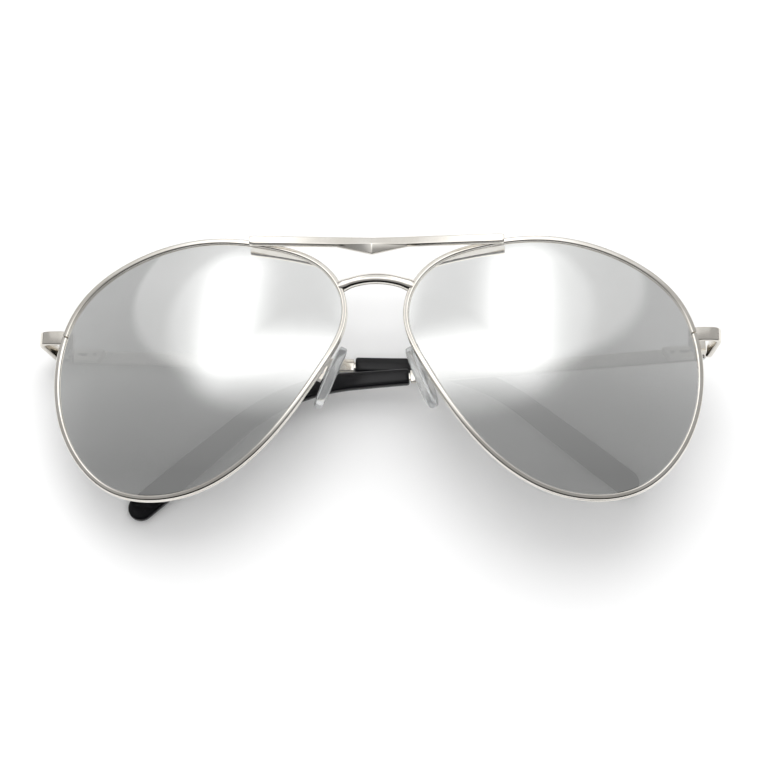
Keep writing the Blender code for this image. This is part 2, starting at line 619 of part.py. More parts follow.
def build_pad(side, word):
    """Pad with its tongue, the cup that holds it, the cross screw and the wire arm."""
    place = make_empty("pad_pivot_" + word, front, (side * PAD_AT[0], PAD_AT[1], PAD_AT[2]), pad_frame_matrix(side))
    cup_top = -PAD_HALF[2] - CUP_STANDOFF
    cup_bottom = cup_top - CUP_OUTER[2]
    pivot = cup_top - CUP_INNER[2] / 2

    bm = bmesh.new()
    bmesh.ops.create_uvsphere(bm, u_segments=24, v_segments=10, radius=1.0)
    bm.transform(Matrix.Diagonal((*PAD_HALF, 1)))
    pad = add_object("nose_pad_" + word, finish_mesh("nose_pad_" + word, bm), place, clear)
    combine(pad, "UNION", centred_box("tongue", TONGUE, -TONGUE[2] - PAD_HALF[2] * 0.3))
    reach = CUP_OUTER[1]
    combine(pad, "DIFFERENCE", rod_mesh("bore", (0, -reach, pivot), (0, reach, pivot), PAD_SCREW_BORE, 16))

    cup = add_object("pad_cup_" + word, centred_box("pad_cup", CUP_OUTER, cup_bottom), place, steel)
    combine(cup, "DIFFERENCE", centred_box("hollow", (CUP_INNER[0], CUP_INNER[1], 2 * CUP_INNER[2]),
                                           cup_top - CUP_INNER[2]))
    combine(cup, "DIFFERENCE", rod_mesh("bore", (0, -reach, pivot), (0, reach, pivot), PAD_SCREW_BORE, 16))

    across = Matrix.Translation((0, 0, pivot)) @ Matrix.Rotation(math.radians(-90), 4, "X")
    profile = screw_profile(PAD_SCREW, PAD_SCREW_HEAD, 0.4 * MM, CUP_OUTER[1] / 2, -CUP_OUTER[1] / 2 - 0.15 * MM)
    screw_object("pad_screw_" + word, profile, place, steel, across, steps=12)

    middle = Vector((side * PAD_AT[0], PAD_AT[1], PAD_AT[2]))
    cup_back = middle + pad_frame_matrix(side) @ Vector((0, 0, cup_bottom - PAD_ARM_RADIUS - 0.25 * MM))
    knots = [(side * 9.0 * MM, 4.75 * MM, 4.4 * MM), (side * 10.6 * MM, 5.1 * MM, 5.2 * MM),
             (side * 13.0 * MM, 6.4 * MM, 4.4 * MM), (side * 14.0 * MM, 7.8 * MM, 2.2 * MM),
             cup_back + Vector((side * 0.3 * MM, 0, 0.5 * MM)), cup_back + Vector((0, 0, -0.9 * MM))]
    wire_object("pad_arm_" + word, smooth_path(knots, 4), PAD_ARM_RADIUS, front, steel, resolution=2)


def build_side(side, word, fold, droop):
    build_rim(side, "rim_" + word)
    build_lens(side, "lens_" + word)
    build_end_piece(side, "end_piece_" + word)
    build_rim_lock(side, word)
    tilt = Matrix.Rotation(-side * droop, 3, "Y")
    hinge = make_empty("hinge_axis_" + word, front, (side * HINGE_AT[0], HINGE_AT[1], HINGE_AT[2]), tilt)
    build_hinge_front(side, word, hinge)
    temple = make_empty("temple_" + word, hinge, (0, 0, 0), Matrix.Rotation(side * fold, 3, "Z"))
    build_eyelet(word, temple)
    build_spring(word, temple)
    build_housing(side, word, temple)
    build_arm(side, word, temple)
    build_sleeve(side, word, temple)
    build_pad(side, word)


def rest_on_ground():
    """Centre the model over the origin, with its lowest point on Z = 0."""
    bpy.context.view_layer.update()
    graph = bpy.context.evaluated_depsgraph_get()
    corners = []
    for item in parts.objects:
        if item.type == "EMPTY":
            continue
        shown = item.evaluated_get(graph)
        mesh = shown.to_mesh()
        corners += [shown.matrix_world @ vert.co for vert in mesh.vertices]
        shown.to_mesh_clear()
    low = [min(p[axis] for p in corners) for axis in range(3)]
    high = [max(p[axis] for p in corners) for axis in range(3)]
    front.location = (-(low[0] + high[0]) / 2, -(low[1] + high[1]) / 2, -low[2])
    bpy.context.view_layer.update()


clear_scene()
parts = make_collection("aviator_sunglasses")
cutters = make_collection("cutters")
steel = make_material("polished_steel", STEEL, 1.0, 0.18)
black = make_material("black_acetate", BLACK, 0.0, 0.25)
mirror = make_material("mirror_lens", MIRROR, 1.0, 0.05)
clear = make_material("clear_silicone", CLEAR, 0.0, 0.2)
lie = Matrix.Rotation(LIE_ROLL, 3, "Y") @ Matrix.Rotation(LIE_PITCH, 3, "X")
front = make_empty("sunglasses", None, rotation=lie)

build_bridge()
build_brow_bar()
build_side(1, "left", LEFT_FOLD, LEFT_DROOP)
build_side(-1, "right", RIGHT_FOLD, RIGHT_DROOP)
rest_on_ground()
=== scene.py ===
import json
import math

import bmesh
import bpy
import numpy as np
from mathutils import Matrix, Vector


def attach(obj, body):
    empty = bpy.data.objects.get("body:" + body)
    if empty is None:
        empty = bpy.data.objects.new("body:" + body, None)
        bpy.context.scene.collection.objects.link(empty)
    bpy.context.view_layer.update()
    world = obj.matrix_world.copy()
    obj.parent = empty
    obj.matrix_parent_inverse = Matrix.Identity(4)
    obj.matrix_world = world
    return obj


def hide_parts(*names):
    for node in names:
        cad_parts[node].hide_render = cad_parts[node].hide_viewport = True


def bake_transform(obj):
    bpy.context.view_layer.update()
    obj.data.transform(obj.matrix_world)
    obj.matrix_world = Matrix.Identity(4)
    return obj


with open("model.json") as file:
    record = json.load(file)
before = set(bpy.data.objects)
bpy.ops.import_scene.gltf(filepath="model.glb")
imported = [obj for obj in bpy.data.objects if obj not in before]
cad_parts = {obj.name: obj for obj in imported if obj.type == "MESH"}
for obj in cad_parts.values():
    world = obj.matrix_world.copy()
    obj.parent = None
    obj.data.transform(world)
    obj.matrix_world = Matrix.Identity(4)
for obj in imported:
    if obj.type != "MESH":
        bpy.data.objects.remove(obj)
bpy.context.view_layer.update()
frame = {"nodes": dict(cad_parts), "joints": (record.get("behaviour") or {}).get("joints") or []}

mm = 0.001
sides = {"left": 1, "right": -1}
scene = bpy.context.scene

lie = {
    "roll": -4.554,             # degrees, resting a little higher on one temple
    "pitch": -88.58,            # degrees, lenses facing up
    "hinge": (69.9, 21.3, 8.4), # mm from the middle of the two lenses
    "fold": {1: 90.0, -1: 86.0},
    "droop": {1: 4.4, -1: 0.7},
}


def frontPlace():
    pins = [Vector(j["pos_m"]) for j in frame["joints"] if j["name"].endswith("_fold")]
    middle = (pins[0] + pins[1]) / 2
    turn = (Matrix.Rotation(math.radians(lie["roll"]), 4, "Y")
            @ Matrix.Rotation(math.radians(lie["pitch"]), 4, "X"))
    reach = turn @ Vector((0, lie["hinge"][1] * mm, lie["hinge"][2] * mm))
    return Matrix.Translation(middle - reach) @ turn @ Matrix.Scale(mm, 4)


wearing = frontPlace()           # millimetres on the face to metres on the table


def hingePlace(side):
    x, y, z = lie["hinge"]
    return (wearing @ Matrix.Translation((side * x, y, z))
            @ Matrix.Rotation(-side * math.radians(lie["droop"][side]), 4, "Y"))


def templePlace(side):
    return hingePlace(side) @ Matrix.Rotation(side * math.radians(lie["fold"][side]), 4, "Z")


def addPiece(name, mesh, material, body, slot, *nodes, smooth=35):
    if material:
        mesh.materials.clear()
        mesh.materials.append(material)
    mesh.shade_smooth()
    mesh.set_sharp_from_angle(angle=math.radians(smooth))
    piece = bpy.data.objects.new(name, mesh)
    scene.collection.objects.link(piece)
    if body:
        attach(piece, body)
    if nodes:
        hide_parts(*nodes)
    return piece


def toMesh(name, bm, place=None):
    if place is not None:
        bm.transform(place)
    if bm.calc_volume(signed=True) < 0:      # faces point outwards
        bmesh.ops.reverse_faces(bm, faces=bm.faces)
    mesh = bpy.data.meshes.new(name)
    bm.to_mesh(mesh)
    bm.free()
    return mesh


def loftMesh(name, rings, place):
    bm = bmesh.new()
    rows = [[bm.verts.new(p) for p in ring] for ring in rings]
    for row, following in zip(rows, rows[1:]):
        for i in range(len(row)):
            j = (i + 1) % len(row)
            bm.faces.new((row[i], row[j], following[j], following[i]))
    bm.faces.new(rows[0][::-1])
    bm.faces.new(rows[-1])
    return toMesh(name, bm, place)


def bevelled(mesh, width, angle=25, segments=3):
    bm = bmesh.new()
    bm.from_mesh(mesh)
    edges = [e for e in bm.edges if len(e.link_faces) == 2 and e.calc_face_angle(0) > math.radians(angle)]
    bmesh.ops.bevel(bm, geom=edges, offset=width, segments=segments, profile=0.5,
                    affect="EDGES", clamp_overlap=True)
    bm.to_mesh(mesh)
    bm.free()
    return mesh


def roundedSection(halfAcross, halfUp, radius, steps=5):
    points = []
    for cx, cy, start in ((1, 1, 0), (-1, 1, 90), (-1, -1, 180), (1, -1, 270)):
        for i in range(steps + 1):
            a = math.radians(start + 90 * i / steps)
            points.append((cx * (halfAcross - radius) + radius * math.cos(a),
                           cy * (halfUp - radius) + radius * math.sin(a)))
    return points


def ease(value, low, high):
    u = min(max((value - low) / (high - low), 0.0), 1.0)
    return u * u * (3 - 2 * u)


def smoothPath(knots, steps):
    knots = [Vector(k) for k in knots]
    padded = [2 * knots[0] - knots[1], *knots, 2 * knots[-1] - knots[-2]]
    path = []
    for a, b, c, d in zip(padded, padded[1:], padded[2:], padded[3:]):
        for step in range(steps):
            u = step / steps
            path.append(0.5 * (2 * b + (c - a) * u + (2 * a - 5 * b + 4 * c - d) * u ** 2
                               + (3 * b - a - 3 * c + d) * u ** 3))
    return path + [knots[-1]]


def newTree(name, **sizes):
    tree = bpy.data.node_groups.new(name, "GeometryNodeTree")
    tree.interface.new_socket("Geometry", in_out="INPUT", socket_type="NodeSocketGeometry")
    tree.interface.new_socket("Geometry", in_out="OUTPUT", socket_type="NodeSocketGeometry")
    for label, value in sizes.items():
        kind = "NodeSocketInt" if isinstance(value, int) else "NodeSocketFloat"
        tree.interface.new_socket(label, in_out="INPUT", socket_type=kind).default_value = value
    tree.interface.new_socket("finish", in_out="INPUT", socket_type="NodeSocketMaterial")
    return tree, addNode(tree, "NodeGroupInput").outputs


def addNode(tree, kind, inputs=None, **settings):
    node = tree.nodes.new(kind)
    for key, value in settings.items():
        setattr(node, key, value)
    for key, value in (inputs or {}).items():
        if isinstance(value, bpy.types.NodeSocket):
            tree.links.new(value, node.inputs[key])
        else:
            node.inputs[key].default_value = value
    return node


def mathNode(tree, operation, *values):
    node = tree.nodes.new("ShaderNodeMath")
    node.operation = operation
    for i, value in enumerate(values):
        if isinstance(value, bpy.types.NodeSocket):
            tree.links.new(value, node.inputs[i])
        else:
            node.inputs[i].default_value = value
    return node.outputs[0]


def endTree(tree, geometry, finish):
    smooth = addNode(tree, "GeometryNodeSetShadeSmooth", {"Geometry": geometry})
    real = addNode(tree, "GeometryNodeRealizeInstances", {"Geometry": smooth.outputs[0]})
    painted = addNode(tree, "GeometryNodeSetMaterial", {"Geometry": real.outputs[0], "Material": finish})
    addNode(tree, "NodeGroupOutput", {"Geometry": painted.outputs[0]})


def grown(name, tree, points, values, attributes=None, place=None):
    base = bpy.data.meshes.new(name + "Path")
    base.from_pydata([tuple(p) for p in points], [(i, i + 1) for i in range(len(points) - 1)], [])
    for label, rows in (attributes or {}).items():
        vector = np.ndim(rows[0]) > 0
        layer = base.attributes.new(label, "FLOAT_VECTOR" if vector else "FLOAT", "POINT")
        layer.data.foreach_set("vector" if vector else "value", np.array(rows, dtype=np.float32).ravel())
    holder = bpy.data.objects.new(name + "Path", base)
    scene.collection.objects.link(holder)
    nodes = holder.modifiers.new("Grow", "NODES")
    nodes.node_group = tree
    for item in tree.interface.items_tree:
        if item.in_out == "INPUT" and item.name in values:
            nodes[item.identifier] = values[item.name]
    bpy.context.view_layer.update()
    graph = bpy.context.evaluated_depsgraph_get()
    mesh = bpy.data.meshes.new_from_object(holder.evaluated_get(graph))
    holder.modifiers.remove(nodes)
    bpy.data.objects.remove(holder, do_unlink=True)
    bm = bmesh.new()
    bm.from_mesh(mesh)
    bmesh.ops.remove_doubles(bm, verts=bm.verts, dist=1e-7 if place is None else 1e-4)
    if place is not None:
        bm.transform(place)
    if bm.calc_volume(signed=True) < 0:
        bmesh.ops.reverse_faces(bm, faces=bm.faces)
    bm.to_mesh(mesh)
    bm.free()
    mesh.name = name
    return mesh


def startMaterial(name, color, metallic, roughness):
    material = bpy.data.materials.new(name)
    material.use_nodes = True
    tree = material.node_tree
    shader = tree.nodes["Principled BSDF"]
    shader.inputs["Base Color"].default_value = (*color, 1)
    shader.inputs["Metallic"].default_value = metallic
    shader.inputs["Roughness"].default_value = roughness
    place = addNode(tree, "ShaderNodeTexCoord").outputs["Object"]
    return material, tree, shader, place


def noise(tree, place, scale, detail=3.0, stretch=None, turn=None):
    if stretch:
        place = addNode(tree, "ShaderNodeMapping", {"Vector": place, "Scale": stretch,
                                                    "Rotation": turn or (0, 0, 0)}).outputs[0]
    texture = addNode(tree, "ShaderNodeTexNoise", {"Vector": place, "Scale": scale, "Detail": detail})
    return texture.outputs["Fac"]


def spread(tree, value, low, high, start=0.35, stop=0.65):
    return addNode(tree, "ShaderNodeMapRange", {"Value": value, "From Min": start, "From Max": stop,
                                                "To Min": low, "To Max": high}).outputs[0]


def bump(tree, shader, height, strength, distance):
    node = addNode(tree, "ShaderNodeBump", {"Height": height, "Strength": strength, "Distance": distance})
    tree.links.new(node.outputs[0], shader.inputs["Normal"])


def twoTone(tree, shader, value, first, second):
    mix = addNode(tree, "ShaderNodeMix", {"Factor": value}, data_type="RGBA")
    for socket in mix.inputs:
        if socket.type == "RGBA":
            socket.default_value = (*(first if socket.name == "A" else second), 1)
    output = next(o for o in mix.outputs if o.type == "RGBA")
    tree.links.new(output, shader.inputs["Base Color"])


def platedSilver():
    material, tree, shader, place = startMaterial("platedSilver", (0.80, 0.765, 0.71), 1.0, 0.08)
    cloud = noise(tree, place, 210, 4)
    twoTone(tree, shader, spread(tree, cloud, 0, 1), (0.77, 0.735, 0.675), (0.83, 0.80, 0.75))
    wipe = noise(tree, place, 700, 5, (1, 5, 1))
    tree.links.new(spread(tree, wipe, 0.045, 0.11), shader.inputs["Roughness"])
    bump(tree, shader, noise(tree, place, 1500, 3), 0.05, 0.000005)
    return material


def brushedSilver():
    material, tree, shader, place = startMaterial("brushedSilver", (0.76, 0.725, 0.665), 1.0, 0.2)
    grain = noise(tree, place, 1500, 4, (1, 9, 9))
    twoTone(tree, shader, spread(tree, grain, 0, 1), (0.735, 0.70, 0.64), (0.79, 0.755, 0.70))
    tree.links.new(spread(tree, grain, 0.13, 0.22), shader.inputs["Roughness"])
    bump(tree, shader, grain, 0.06, 0.000005)
    return material


def screwSteel():
    material, tree, shader, place = startMaterial("screwSteel", (0.62, 0.62, 0.63), 1.0, 0.25)
    turned = noise(tree, place, 4200, 4)
    twoTone(tree, shader, spread(tree, turned, 0, 1), (0.52, 0.52, 0.53), (0.70, 0.70, 0.71))
    tree.links.new(spread(tree, turned, 0.18, 0.34), shader.inputs["Roughness"])
    return material


def mirrorCoat():
    material, tree, shader, place = startMaterial("mirrorCoat", (0.78, 0.785, 0.775), 1.0, 0.02)
    film = noise(tree, place, 55, 2)
    twoTone(tree, shader, spread(tree, film, 0, 1), (0.77, 0.777, 0.768), (0.79, 0.795, 0.788))
    haze = noise(tree, place, 700, 3)
    tree.links.new(spread(tree, haze, 0.015, 0.035), shader.inputs["Roughness"])
    shader.inputs["Alpha"].default_value = 0.84
    return material


def smokeTint():
    material, tree, shader, place = startMaterial("smokeTint", (0.06, 0.062, 0.066), 0.0, 0.06)
    cast = noise(tree, place, 90, 2)
    twoTone(tree, shader, spread(tree, cast, 0, 1), (0.05, 0.052, 0.056), (0.07, 0.072, 0.076))
    shader.inputs["Alpha"].default_value = 0.2
    return material


def blackSleeve():
    material, tree, shader, place = startMaterial("blackSleeve", (0.012, 0.012, 0.014), 0.0, 0.3)
    skin = noise(tree, place, 3200, 4)
    cloud = spread(tree, noise(tree, place, 130, 3), 0, 1)
    twoTone(tree, shader, cloud, (0.003, 0.003, 0.004), (0.007, 0.007, 0.008))
    tree.links.new(spread(tree, skin, 0.17, 0.25), shader.inputs["Roughness"])
    shader.inputs["Specular IOR Level"].default_value = 0.3
    bump(tree, shader, skin, 0.05, 0.00001)
    return material


def clearPad():
    material, tree, shader, place = startMaterial("clearPad", (0.95, 0.965, 0.97), 0.0, 0.12)
    shader.inputs["Transmission Weight"].default_value = 0.82
    shader.inputs["IOR"].default_value = 1.41
    cloud = noise(tree, place, 420, 3)
    twoTone(tree, shader, spread(tree, cloud, 0, 1), (0.90, 0.92, 0.925), (0.97, 0.98, 0.985))
    skin = noise(tree, place, 1100, 3, (1, 1, 0.3))
    tree.links.new(spread(tree, skin, 0.07, 0.2), shader.inputs["Roughness"])
    bump(tree, shader, skin, 0.12, 0.00003)
    return material


def satinNickel():
    material, tree, shader, place = startMaterial("satinNickel", (0.86, 0.83, 0.77), 0.75, 0.42)
    grain = noise(tree, place, 1300, 4, (1, 7, 7))
    twoTone(tree, shader, spread(tree, grain, 0, 1), (0.82, 0.79, 0.73), (0.90, 0.87, 0.82))
    tree.links.new(spread(tree, grain, 0.34, 0.5), shader.inputs["Roughness"])
    bump(tree, shader, grain, 0.08, 0.000005)
    return material


silver, brushed, steel, nickel = platedSilver(), brushedSilver(), screwSteel(), satinNickel()
mirror, smoke, black, clear = mirrorCoat(), smokeTint(), blackSleeve(), clearPad()
print("finishes ready")


rim = {
    "gap": 12.0,                # between the rims at the nose
    "outline": ((32.1, 0.0), (27.5, 15.8), (14.7, 25.6), (-1.0, 29.3), (-16.0, 27.6), (-26.4, 23.2),
                (-31.3, 16.0), (-31.5, 8.0), (-28.0, 0.0), (-20.5, -11.9), (-12.2, -21.1), (-1.5, -27.6),
                (8.0, -29.3), (18.5, -27.0), (28.5, -16.4)),
    "faceRadius": 95.0,
    "wrap": 6.0,                # degrees
    "width": 1.2,
    "depth": 2.2,
    "round": 0.42,
    "grooveDepth": 0.2,
    "grooveWidth": 0.3,
    "slit": 0.4,
    "steps": 260,
}


def closedSpline(knots, fineness=40):
    knots = np.array(knots)
    count = len(knots)
    chord = np.linalg.norm(np.roll(knots, -1, 0) - knots, axis=1)
    system, target = np.zeros((count, count)), np.zeros((count, 2))
    for i in range(count):
        before, after, nxt = chord[i - 1], chord[i], (i + 1) % count
        system[i, i - 1] += after
        system[i, i] += 2 * (before + after)
        system[i, nxt] += before
        target[i] = 3 * (after * (knots[i] - knots[i - 1]) / before
                         + before * (knots[nxt] - knots[i]) / after)
    slope = np.linalg.solve(system, target)
    points = []
    for i in range(count):
        nxt = (i + 1) % count
        for u in np.arange(fineness) / fineness:
            points.append((2 * u ** 3 - 3 * u ** 2 + 1) * knots[i] + (3 * u ** 2 - 2 * u ** 3) * knots[nxt]
                          + chord[i] * ((u ** 3 - 2 * u ** 2 + u) * slope[i] + (u ** 3 - u ** 2) * slope[nxt]))
    return np.array(points)


outline = closedSpline(rim["outline"])
lensCentre = (outline[:, 0].max() - outline[:, 0].min()) / 2 + rim["gap"] / 2
outline[:, 0] -= (outline[:, 0].max() + outline[:, 0].min()) / 2


def walk(points, start, end, count):
    length = np.concatenate([[0], np.cumsum(np.linalg.norm(np.diff(points, axis=0), axis=1))])
    where = np.linspace(start, length[-1] - end, count)
    return np.stack([np.interp(where, length, points[:, axis]) for axis in (0, 1)], axis=1)


def outwardOf(points, closed):
    along = np.roll(points, -1, 0) - np.roll(points, 1, 0) if closed else np.gradient(points, axis=0)
    along /= np.linalg.norm(along, axis=1)[:, None]
    return np.stack([along[:, 1], -along[:, 0]], axis=1)


def onFace(side, x, z, depth):
    x += lensCentre
    radius, wrap = rim["faceRadius"], math.radians(rim["wrap"])
    centreX, centreY = lensCentre - radius * math.sin(wrap), radius * math.cos(wrap)
    return Vector((side * x, centreY - math.sqrt(radius ** 2 - (x - centreX) ** 2 - z ** 2) + depth, z))


def rimTree():
    tree, sizes = newTree("rimSweep", width=1.2, depth=2.2, round=0.4, grooveDepth=0.2, grooveWidth=0.3,
                          sectionPoints=56)
    up = addNode(tree, "GeometryNodeInputNamedAttribute", {"Name": "across"}, data_type="FLOAT_VECTOR")
    line = addNode(tree, "GeometryNodeMeshToCurve", {"Mesh": sizes["Geometry"]})
    turned = addNode(tree, "GeometryNodeSetCurveNormal",
                     {"Curve": line.outputs[0], "Normal": up.outputs[0]}, mode="FREE")
    box = addNode(tree, "GeometryNodeCurvePrimitiveQuadrilateral",
                  {"Width": sizes["width"], "Height": sizes["depth"]})
    soft = addNode(tree, "GeometryNodeFilletCurve",
                   {"Curve": box.outputs[0], "Radius": sizes["round"], "Count": 6}, mode="POLY")
    even = addNode(tree, "GeometryNodeResampleCurve",
                   {"Curve": soft.outputs[0], "Count": sizes["sectionPoints"]})
    spot = addNode(tree, "ShaderNodeSeparateXYZ", {0: addNode(tree, "GeometryNodeInputPosition").outputs[0]})
    away = mathNode(tree, "DIVIDE", mathNode(tree, "ABSOLUTE", spot.outputs[1]), sizes["grooveWidth"])
    dip = mathNode(tree, "MAXIMUM", mathNode(tree, "SUBTRACT", 1.0, away), 0.0)
    side = mathNode(tree, "SIGN", spot.outputs[0])
    push = mathNode(tree, "MULTIPLY", mathNode(tree, "MULTIPLY", dip, side),
                    mathNode(tree, "MULTIPLY", sizes["grooveDepth"], -1.0))
    moved = addNode(tree, "GeometryNodeSetPosition",
                    {"Geometry": even.outputs[0],
                     "Offset": addNode(tree, "ShaderNodeCombineXYZ", {0: push}).outputs[0]})
    swept = addNode(tree, "GeometryNodeCurveToMesh",
                    {"Curve": turned.outputs[0], "Profile Curve": moved.outputs[0], "Fill Caps": True})
    endTree(tree, swept.outputs[0], sizes["finish"])
    return tree


def makeRims():
    tree = rimTree()
    first = min((i for i in range(len(outline)) if outline[i, 0] > 0 and outline[i, 1] >= lie["hinge"][2]),
                key=lambda i: outline[i, 1])
    fromSlit = np.concatenate([outline[first:], outline[:first + 1]])
    line = walk(fromSlit, rim["slit"] / 2, rim["slit"] / 2, rim["steps"])
    outwards = outwardOf(line, False)
    for word, side in sides.items():
        path = [onFace(side, *(p - n * rim["width"] / 2), rim["depth"] / 2) for p, n in zip(line, outwards)]
        tangents = np.gradient(np.array([tuple(p) for p in path]), axis=0)
        tangents /= np.linalg.norm(tangents, axis=1)[:, None]
        backwards = np.array([[0.0, 1.0, 0.0]]) - tangents * tangents[:, 1:2]
        backwards /= np.linalg.norm(backwards, axis=1)[:, None]
        across = np.cross(tangents, backwards)
        values = {"width": rim["width"], "depth": rim["depth"], "round": rim["round"],
                  "grooveDepth": rim["grooveDepth"], "grooveWidth": rim["grooveWidth"], "finish": silver}
        mesh = grown("rimWire_" + word, tree, path, values, {"across": across}, wearing)
        addPiece("rimWire_" + word, mesh, None, "front", "polished_metal", "rim_" + word, smooth=40)
    print("rims swept")


makeRims()


lens = {
    "inset": 1.32,              # face edge, in from the outside of the rim
    "bevelInset": 0.98,
    "front": 0.75,              # behind the front of the rim
    "back": 1.7,
    "rings": 40,
    "spokes": 240,
}


def makeLenses():
    loop = walk(np.concatenate([outline, outline[:1]]), 0, 0, lens["spokes"] + 1)[:-1]
    outwards = outwardOf(loop, True)
    face, edge = loop - outwards * lens["inset"], loop - outwards * lens["bevelInset"]
    shares = [math.sin(math.pi / 2 * (i + 1) / lens["rings"]) for i in range(lens["rings"])]
    middle = (lens["front"] + lens["back"]) / 2
    for word, side in sides.items():
        bm = bmesh.new()
        rows, kinds = [], []
        for depth, order in ((lens["front"], shares), (lens["back"], shares[::-1])):
            for share in order:
                rows.append([bm.verts.new(onFace(side, *(p * share), depth)) for p in face])
                kinds.append(depth)
            if depth == lens["front"]:
                for step in (0.28, 0.5, 0.72):
                    level = lens["front"] + (lens["back"] - lens["front"]) * step
                    ring = face + (edge - face) * (1 - abs(step - 0.5) * 2)
                    rows.append([bm.verts.new(onFace(side, *p, level)) for p in ring])
                    kinds.append(middle)
        for k, (row, following) in enumerate(zip(rows, rows[1:])):
            for i in range(len(row)):
                j = (i + 1) % len(row)
                made = bm.faces.new((row[i], row[j], following[j], following[i]))
                made.material_index = 0 if kinds[k + 1] == lens["front"] else 1
        for row, depth in ((rows[0][::-1], lens["front"]), (rows[-1], lens["back"])):
            hub = bm.verts.new(onFace(side, 0, 0, depth))
            for i in range(len(row)):
                made = bm.faces.new((row[i], row[(i + 1) % len(row)], hub))
                made.material_index = 0 if depth == lens["front"] else 1
        mesh = toMesh("lensDisc_" + word, bm, wearing)
        mesh.materials.append(mirror)
        mesh.materials.append(smoke)
        addPiece("lensDisc_" + word, mesh, None, "front", "mirror_lens", "lens_" + word, smooth=30)
    print("lenses ground")


makeLenses()


bridge = {
    "radius": 1.2,
    "halfSpan": 7.7,
    "end": (4.5, 18.0),         # back and up, mm
    "crown": (3.0, 19.25),
    "flare": 1.18,              # solder at the rims, times the radius
    "steps": 48,
}

browBar = {
    "halfLength": 27.6,
    "thickness": 1.3,
    "endHeight": 2.1,
    "midHeight": 3.7,
    "topEnd": 29.0,
    "topMid": 27.8,
    "frontEnd": 1.5,
    "frontMid": 0.3,
    "peakHalfWidth": 7.6,       # the deeper V near the middle
    "peakAt": -0.8,
    "ridge": 0.45,              # its point stands forward
    "chamfer": 0.3,
    "round": 0.09,
}


def wireTree():
    tree, sizes = newTree("roundWire", radius=1.0, sidesCount=32)
    line = addNode(tree, "GeometryNodeMeshToCurve", {"Mesh": sizes["Geometry"]})
    thick = addNode(tree, "GeometryNodeInputNamedAttribute", {"Name": "thickness"}, data_type="FLOAT")
    ring = addNode(tree, "GeometryNodeCurvePrimitiveCircle", {"Resolution": sizes["sidesCount"],
                                                              "Radius": sizes["radius"]})
    swept = addNode(tree, "GeometryNodeCurveToMesh",
                    {"Curve": line.outputs[0], "Profile Curve": ring.outputs[0],
                     "Scale": thick.outputs[0], "Fill Caps": True})
    endTree(tree, swept.outputs[0], sizes["finish"])
    return tree


roundWire = wireTree()


def makeBridge():
    points, thick = [], []
    for i in range(bridge["steps"] + 1):
        u = 2 * i / bridge["steps"] - 1
        y, z = [crown + (end - crown) * u * u for crown, end in zip(bridge["crown"], bridge["end"])]
        points.append((u * bridge["halfSpan"], y, z))
        near = ease(abs(u), 0.7, 0.95)
        thick.append(1 + (bridge["flare"] - 1) * near)
    mesh = grown("bridgeTube", roundWire, points, {"radius": bridge["radius"], "finish": silver},
                 {"thickness": thick}, wearing)
    addPiece("bridgeTube", mesh, None, "front", "polished_metal", "bridge")


def makeBrowBar():
    b = browBar
    outer = (11, 13, 15, 17, 19, 21, 23, 25, 26.4, 27.2, 27.6)
    stations = sorted({s * x for s in (-1, 1) for x in outer}
                      | {b["peakAt"] + s * b["peakHalfWidth"] for s in (-1, 0, 1)}
                      | {b["peakAt"] + s * 0.25 for s in (-1, 1)})
    rings = []
    for x in stations:
        u = x / b["halfLength"]
        peak = max(0.0, 1 - max(abs(x - b["peakAt"]), 0.25) / b["peakHalfWidth"])
        top = b["topMid"] + (b["topEnd"] - b["topMid"]) * abs(u) ** 1.3
        height = b["endHeight"] + (b["midHeight"] - b["endHeight"]) * peak
        frontY = b["frontMid"] + (b["frontEnd"] - b["frontMid"]) * u * u
        trim = 0.3 if abs(x) == b["halfLength"] else (0.08 if abs(x) == 27.2 else 0)
        bottom, back = top - height + trim, frontY + b["thickness"]
        top -= trim
        skirt = b["chamfer"] + 0.5 * height * peak
        ridge = b["ridge"] * peak
        rings.append([(x, back, top), (x, frontY + b["chamfer"], top), (x, frontY, top - b["chamfer"]),
                      (x, frontY - ridge, bottom + skirt), (x, frontY + b["thickness"] / 2 - ridge, bottom),
                      (x, back, bottom)])
    mesh = loftMesh("browBarStrip", rings, None)
    bevelled(mesh, b["round"], 14)
    mesh.transform(wearing)
    addPiece("browBarStrip", mesh, silver, "front", "polished_metal", "brow_bar", smooth=24)


makeBridge()
makeBrowBar()
print("bridge and brow bar made")


endPiece = {
    "thickness": 1.1,
    "height": 3.0,
    "inner": 68.4,
    "outer": 74.3,
    "front": 8.9,
    "bend": 2.5,
    "buttGap": 0.15,
    "stripOffset": 1.75,        # strip's middle, outside the hinge axis
    "round": 0.28,
}


